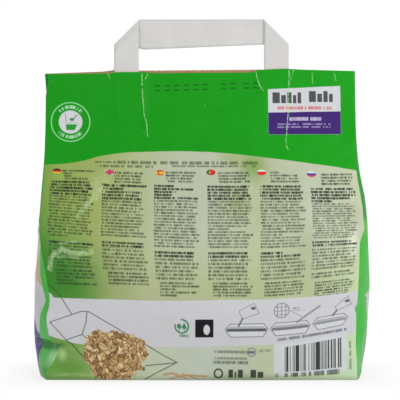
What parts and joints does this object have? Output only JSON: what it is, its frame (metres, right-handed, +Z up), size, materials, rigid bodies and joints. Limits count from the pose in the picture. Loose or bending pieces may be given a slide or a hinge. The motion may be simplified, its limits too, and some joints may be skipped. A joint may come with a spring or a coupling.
{
  "type": "cat litter bag",
  "caption": "Filled block-bottom paper sack with folded side gussets, a flat closed top and a folded paper strip handle.",
  "frame": {"origin": "centre of the flat base, on the surface the sack stands on", "axes": "+Z up, -Y out of the panel with the handle's legs in front, +X to the right of that panel"},
  "size_m": [0.2808, 0.1458, 0.2991],
  "materials": {
    "printed_paper": "satin print in green, meadow green and white fields",
    "strip_paper": "matt white paper strip",
    "kraft_paper": "matt brown kraft"
  },
  "bodies": {
    "root": {"bag": "printed_paper", "handle": "strip_paper", "handle_patch": "kraft_paper"}
  },
  "joints": []
}
